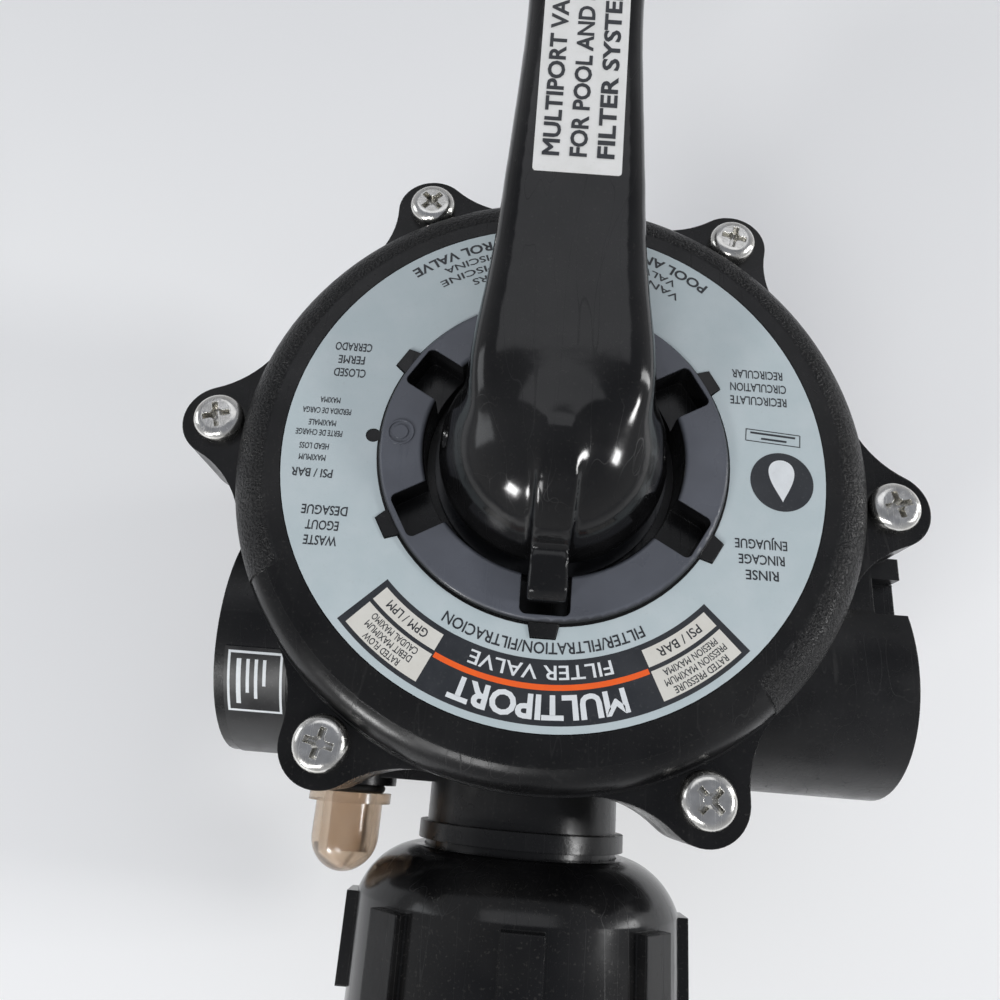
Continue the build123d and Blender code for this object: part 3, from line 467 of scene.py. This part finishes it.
group = handle_skin.vertex_groups.new(name="shoulder")
for vertex in even.vertices:
    group.add([vertex.index], free_to_move(vertex.co), "REPLACE")
for name, iterations, where in (("soften", 160, "shoulder"), ("soften_all", 3, "")):
    soften = handle_skin.modifiers.new(name, "SMOOTH")
    soften.factor = 0.5
    soften.iterations = iterations
    soften.vertex_group = where
smooth = bake_shape(handle_skin)
handle_skin.vertex_groups.clear()
smooth.materials.clear()
smooth.materials.append(handle_plastic)
smooth.polygons.foreach_set("use_smooth", [True] * len(smooth.polygons))
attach(handle_skin, "lever")
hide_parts("handle")
print("handle skin points:", len(smooth.vertices))

# %% [markdown]
# ## Printing helpers
# Every printed mark is real flat geometry a few hundredths of a millimetre above the label, so it stays
# sharp at any zoom and needs no image. A font object becomes a mesh, gets its true size, and is then laid
# down: flat, or bent round the dial by turning distance along the line into an angle.

# %% Letters as flat meshes
CAPITAL = 0.682
NARROW = 0.72
SAME_POINT = 0.00001


def fatten(mesh, amount):
    """Makes flat letters bolder: moves each outline point outwards, a little further at corners."""
    bm = bmesh.new()
    bm.from_mesh(mesh)
    bmesh.ops.remove_doubles(bm, verts=bm.verts, dist=SAME_POINT)
    shifts = []
    for corner in bm.verts:
        outward = []
        for edge in corner.link_edges:
            if edge.is_boundary:
                along = (edge.verts[1].co - edge.verts[0].co).normalized()
                side = Vector((along.y, -along.x, 0))
                inside = edge.link_faces[0].calc_center_median() - corner.co
                outward.append(-side if side.dot(inside) > 0 else side)
        if len(outward) == 2:
            first, second = outward
            shifts.append((corner, (first + second) * amount / max(0.5, 1 + first.dot(second))))
    for corner, shift in shifts:
        corner.co += shift
    bm.to_mesh(mesh)
    bm.free()


def letters(words, capital, length=0.0, bold=0.012):
    """Points and faces, in mm, of a centred line. capital is the letters' height, length the line's."""
    curve = bpy.data.curves.new("letters", "FONT")
    curve.body = words
    curve.align_x = "CENTER"
    curve.resolution_u = 3
    mesh = bpy.data.meshes.new_from_object(bpy.data.objects.new("letters", curve))
    fatten(mesh, bold)
    tall = capital / CAPITAL
    reach = max(v.co.x for v in mesh.vertices) - min(v.co.x for v in mesh.vertices)
    wide = length / reach if length else tall * NARROW
    points = [(v.co.x * wide, v.co.y * tall - capital / 2) for v in mesh.vertices]
    return points, [tuple(p.vertices) for p in mesh.polygons]


def lay_flat(shape, x, y, turn=180.0):
    """Moves a flat shape to x, y on the dial, turned by degrees."""
    points, faces = shape
    c, s = math.cos(math.radians(turn)), math.sin(math.radians(turn))
    return [(x + c * u - s * v, y + s * u + c * v) for u, v in points], faces


def lay_round(shape, radius, compass, tops_out=True):
    """Bends a line round the dial's axis at radius mm, its middle at compass degrees."""
    points, faces = shape
    way = -1 if tops_out else 1
    laid = []
    for u, v in points:
        angle = math.radians(compass) + way * u / radius
        out = radius - way * v
        laid.append((out * math.cos(angle), out * math.sin(angle)))
    return laid, faces


def sector(inner, outer, start, end, steps=48):
    """A patch of the dial between two radii and two compass angles."""
    points, faces = [], []
    for i in range(steps + 1):
        angle = math.radians(start + (end - start) * i / steps)
        points += [(inner * math.cos(angle), inner * math.sin(angle)),
                   (outer * math.cos(angle), outer * math.sin(angle))]
    for i in range(steps):
        faces.append((2 * i, 2 * i + 1, 2 * i + 3, 2 * i + 2))
    return points, faces


def print_shapes(name, shapes, height, ink, body, place=None):
    """Joins flat shapes into one printed piece. place turns (x, y) in mm into a point, for bent surfaces."""
    points, faces = [], []
    for shape_points, shape_faces in shapes:
        start = len(points)
        points += shape_points
        faces += [tuple(start + i for i in face) for face in shape_faces]
    put_at = place or (lambda x, y: Vector((x, y, height)))
    mesh = bpy.data.meshes.new(name)
    mesh.from_pydata([put_at(x, y) * MM for x, y in points], [], faces)
    mesh.materials.append(ink)
    made = bpy.data.objects.new(name, mesh)
    scene.collection.objects.link(made)
    turn_upward(made, put_at)
    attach(made, body)
    print("printed", name, "faces", len(mesh.polygons))
    return made


def turn_upward(piece, put_at):
    """Makes every face look the way that the surface under it does."""
    out = (put_at(0.1, 0) - put_at(0, 0)).cross(put_at(0, 0.1) - put_at(0, 0)).normalized()
    bm = bmesh.new()
    bm.from_mesh(piece.data)
    for face in bm.faces:
        if face.normal.dot(out) < 0:
            face.normal_flip()
    bm.to_mesh(piece.data)
    bm.free()


# %% [markdown]
# ## The dial's name band
# A charcoal band crosses the FILTER side with an orange line, a big white name and a smaller one, and a
# framed data box at each end. The names here are generic. Each colour is one piece, at its own tiny height,
# because two flat pieces at the same height would flicker through each other.

# %% Name band and data boxes
label_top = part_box("position_label")[1].z / MM
INK_STEP = 0.015
first_ink = label_top + 0.02
second_ink = first_ink + INK_STEP
third_ink = second_ink + INK_STEP
fourth_ink = third_ink + INK_STEP
FILTER_SIDE = -90.0
band = [sector(48.4, 62.0, FILTER_SIDE - 46.0, FILTER_SIDE + 46.0, 96)]
cells = []
for start, end in ((-64.6, -45.6), (-134.4, -115.4)):
    cells += [sector(inner, outer, start, end, 24) for inner, outer in ((49.6, 53.5), (54.4, 61.0))]
print_shapes("dial_band", band, first_ink, ink_dark, "valve")
print_shapes("dial_cells", cells, second_ink, ink_cream, "valve")
stripe = [sector(53.6, 54.8, FILTER_SIDE - 25.0, FILTER_SIDE + 25.0)]
print_shapes("dial_orange_line", stripe, second_ink, ink_orange, "valve")
white = [
    lay_round(letters("MULTIPORT", 4.7, 38.0, 0.034), 58.3, FILTER_SIDE),
    lay_round(letters("FILTER VALVE", 2.9, 31.0, 0.010), 51.1, FILTER_SIDE),
]

# %% [markdown]
# ## Position names
# The six positions are named in three languages in condensed capitals. Four names sit in straight blocks
# of three lines, read from the far side of the dial, and FILTER follows the curve. Each line is given its
# length, so that the words come out as condensed as on a real label whatever the font's own width is.

# %% Position names
LINE_GAP = 3.6
NAME_HEIGHT = 2.15
FIT = 0.98
dark = []
blocks = {
    ("CLOSED", "FERME", "CERRADO"): (-50.5, 20.3, 9.2),
    ("WASTE", "EGOUT", "DESAGUE"): (-51.1, -22.4, 10.7),
    ("RECIRCULATE", "CIRCULATION", "RECIRCULAR"): (48.7, 20.8, 13.8),
    ("RINSE", "RINCAGE", "ENJUAGUE"): (47.9, -22.6, 12.0),
}
for lines, (x, y, width) in blocks.items():
    per_letter = width / max(len(line) for line in lines)
    for row, line in enumerate(lines):
        words = letters(line, NAME_HEIGHT, per_letter * len(line) * FIT)
        dark.append(lay_flat(words, x, y + LINE_GAP * (row - 1)))
dark.append(lay_round(letters("FILTER/FILTRATION/FILTRACION", 2.4, 45.0), 46.0, FILTER_SIDE))
for row, line in enumerate(("BACKWASH", "LAVAGE", "LAVADO")):
    words = letters(line, NAME_HEIGHT, 1.35 * len(line))
    dark.append(lay_flat(words, 0.0, 47.5 + LINE_GAP * (row - 1)))
print("position lines:", len(dark))

# %% Small print, data boxes and the maker's lines
FINE = 1.45
small = (("PSI / BAR", -55.4, -9.9, 2.0, 9.6), ("MAXIMUM", -56.0, -6.1, FINE, 6.2),
         ("HEAD LOSS", -56.0, -3.2, FINE, 6.9), ("PERTE DE CHARGE", -55.4, 0.3, FINE, 11.0),
         ("MAXIMALE", -55.0, 2.9, FINE, 6.5), ("PERDIDA DE CARGA", -54.4, 6.1, FINE, 11.6),
         ("MAXIMA", -54.0, 9.0, FINE, 4.8))
for line, x, y, capital, length in small:
    dark.append(lay_flat(letters(line, capital, length), x, y))
data = {-55.0: ("PSI / BAR", "PRESION MAXIMA", "PRESSION MAXIMUM", "RATED PRESSURE"),
        -125.0: ("GPM / LPM", "CAUDAL MAXIMO", "DEBIT MAXIMUM", "RATED FLOW")}
for compass, (value, *lines) in data.items():
    dark.append(lay_round(letters(value, 1.9, 11.0), 51.5, compass))
    for row, line in enumerate(lines):
        dark.append(lay_round(letters(line, FINE, FIT * len(line)), 55.7 + 2.05 * row, compass))
arcs = (("POOL AND SPA FILTER CONTROL VALVE", 60.0, 2.5, 80.0, 0.026),
        ("VALVULA PARA FILTRO DE PISCINA", 56.6, 1.8, 62.0, 0.012),
        ("VANNE POUR FILTRE DE PISCINE", 53.6, 1.8, 64.0, 0.012),
        ("VALVE FOR POOL FILTERS", 50.7, 1.8, 46.0, 0.012))
for line, radius, capital, length, bold in arcs:
    dark.append(lay_round(letters(line, capital, length, bold), radius, 91.0, False))
print("all dial lines:", len(dark))

# %% [markdown]
# ## Drop disc and outlined box
# A round dark badge carries a water drop, drawn as a circle that narrows to a point, and above it an
# outlined box holds two thin lines. They give the dial its balance without naming anybody. A drop is one
# short formula, so it needs no drawing: a circle's width is squeezed towards one end.

# %% Drop disc and outlined box
def disc(x, y, radius, steps=64):
    """A filled circle."""
    turns = [2 * math.pi * i / steps for i in range(steps)]
    ring = [(x + radius * math.cos(t), y + radius * math.sin(t)) for t in turns]
    return ring, [tuple(range(steps))]


def bar(x, y, width, height, turn=0.0):
    """A filled rectangle with its middle at x, y."""
    w, h = width / 2, height / 2
    return lay_flat(([(-w, -h), (w, -h), (w, h), (-w, h)], [(0, 1, 2, 3)]), x, y, turn)


def drop(x, y, radius, steps=48):
    """A water drop with its point towards -Y."""
    points = []
    for i in range(steps):
        t = 2 * math.pi * i / steps
        squeeze = math.sin(t / 2) ** 1.4
        points.append((x + radius * math.sin(t) * squeeze, y - radius * 1.25 * math.cos(t)))
    return points, [tuple(range(steps))]


box_x, box_y, box_turn, hairline = 51.7, 7.7, -4.0, 0.22
dark.append(disc(53.3, -3.4, 7.3))
for offset in (-1, 1):
    dark.append(bar(box_x, box_y + offset * 1.5, 12.8, hairline, box_turn))
    dark.append(bar(box_x + offset * 6.35, box_y - offset * 0.45, hairline, 3.0, box_turn))
dark.append(bar(box_x, 8.4, 10.6, 0.5, box_turn))
dark.append(bar(51.9, 7.1, 6.0, 0.5, box_turn))
white.append(drop(53.3, -3.2, 4.2))
print_shapes("dial_dark_print", dark, third_ink, ink_dark, "valve")
print_shapes("dial_white_print", white, fourth_ink, ink_white, "valve")

# %% [markdown]
# ## Stickers
# The grip's paper sticker has three bold lines that run along the handle. We read the CAD sticker's own
# corners, so the lines follow its slope. The port's black sticker wraps round the pipe, so its marks are
# bent round the pipe's axis the same way as the dial's are round the valve's. A Shrinkwrap modifier could
# press flat marks onto either surface, but a formula keeps each mark's width and place exact.

# %% Handle sticker lines
low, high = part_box("handle_sticker")
corners = [v.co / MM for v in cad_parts["handle_sticker"].data.vertices]
near_y, far_y = low.y / MM, high.y / MM
END_BAND = 0.6
near = max(p.z for p in corners if p.y < near_y + END_BAND)
far = max(p.z for p in corners if p.y > far_y - END_BAND)
middle_y = (near_y + far_y) / 2


def on_grip(x, y):
    """A point on the grip's sticker, which rises evenly from its near end to its far end."""
    share = (y - near_y) / (far_y - near_y)
    return Vector((x, y, near + (far - near) * share + 0.05))


sticker_lines = []
for x, line in ((-6.2, "MULTIPORT VALVE"), (0.0, "FOR POOL AND SPA"), (6.2, "FILTER SYSTEMS")):
    sticker_lines.append(lay_flat(letters(line, 3.6, 50.0, 0.03), x, middle_y, 90.0))
print_shapes("handle_sticker_print", sticker_lines, 0.0, ink_dark, "lever", on_grip)
print("sticker from", round(near_y), "to", round(far_y), "heights", round(near, 2), round(far, 2))

# %% Port sticker marks
port_low, port_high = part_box("port_sticker")
port_middle = (port_low.x + port_high.x) / 2 / MM
port_axis_y, port_axis_z, port_out = -40.0, 100.0, 31.28


def on_port(x, y):
    """x runs along the pipe and y round it, from the pipe's top towards -Y, in mm."""
    angle = y / port_out
    return Vector((port_middle + x, port_axis_y - port_out * math.sin(angle),
                   port_axis_z + port_out * math.cos(angle)))


def long_bar(x, start, end, width, steps=24):
    """A line that runs round the pipe, in short steps so that it bends with the pipe."""
    points = []
    for i in range(steps + 1):
        y = start + (end - start) * i / steps
        points += [(x - width / 2, y), (x + width / 2, y)]
    return points, [(2 * i, 2 * i + 1, 2 * i + 3, 2 * i + 2) for i in range(steps)]


top, foot, side, frame_line = 9.4, 24.6, 6.3, 0.6
marks = [bar(0.0, y, 2 * side + frame_line, frame_line) for y in (top, foot)]
long_marks = ((-side, top, foot, frame_line), (side, top, foot, frame_line), (-3.9, 11.0, 22.6, 1.1),
              (-1.7, 11.0, 19.5, 0.8), (0.3, 11.0, 21.0, 0.8), (2.3, 11.0, 17.5, 0.8))
marks += [long_bar(*mark) for mark in long_marks]
print_shapes("port_sticker_print", marks, 0.0, ink_white, "valve", on_port)

# %% [markdown]
# ## The floor's finish
# A plain pale floor still has a little tone, or it looks like empty space. Paper sweeps and tables could
# be modelled, but nothing on this object needs them, so a broad faint mottling is enough.

# %% Floor finish
floor_finish, tree, shader, place, normal = finish_start("floor_finish", 0.01)
tone = span(tree, noise(tree, place, 400.0), 0.3, 0.7)
feed(tree, shader, "Base Color", tint(tree, tone, paint(250, 250, 250), paint(253, 253, 252)))
feed(tree, shader, "Roughness", span(tree, tone, 0.0, 1.0, 0.6, 0.75))
floor_mesh.materials.append(floor_finish)
print("floor finish nodes:", len(tree.nodes))
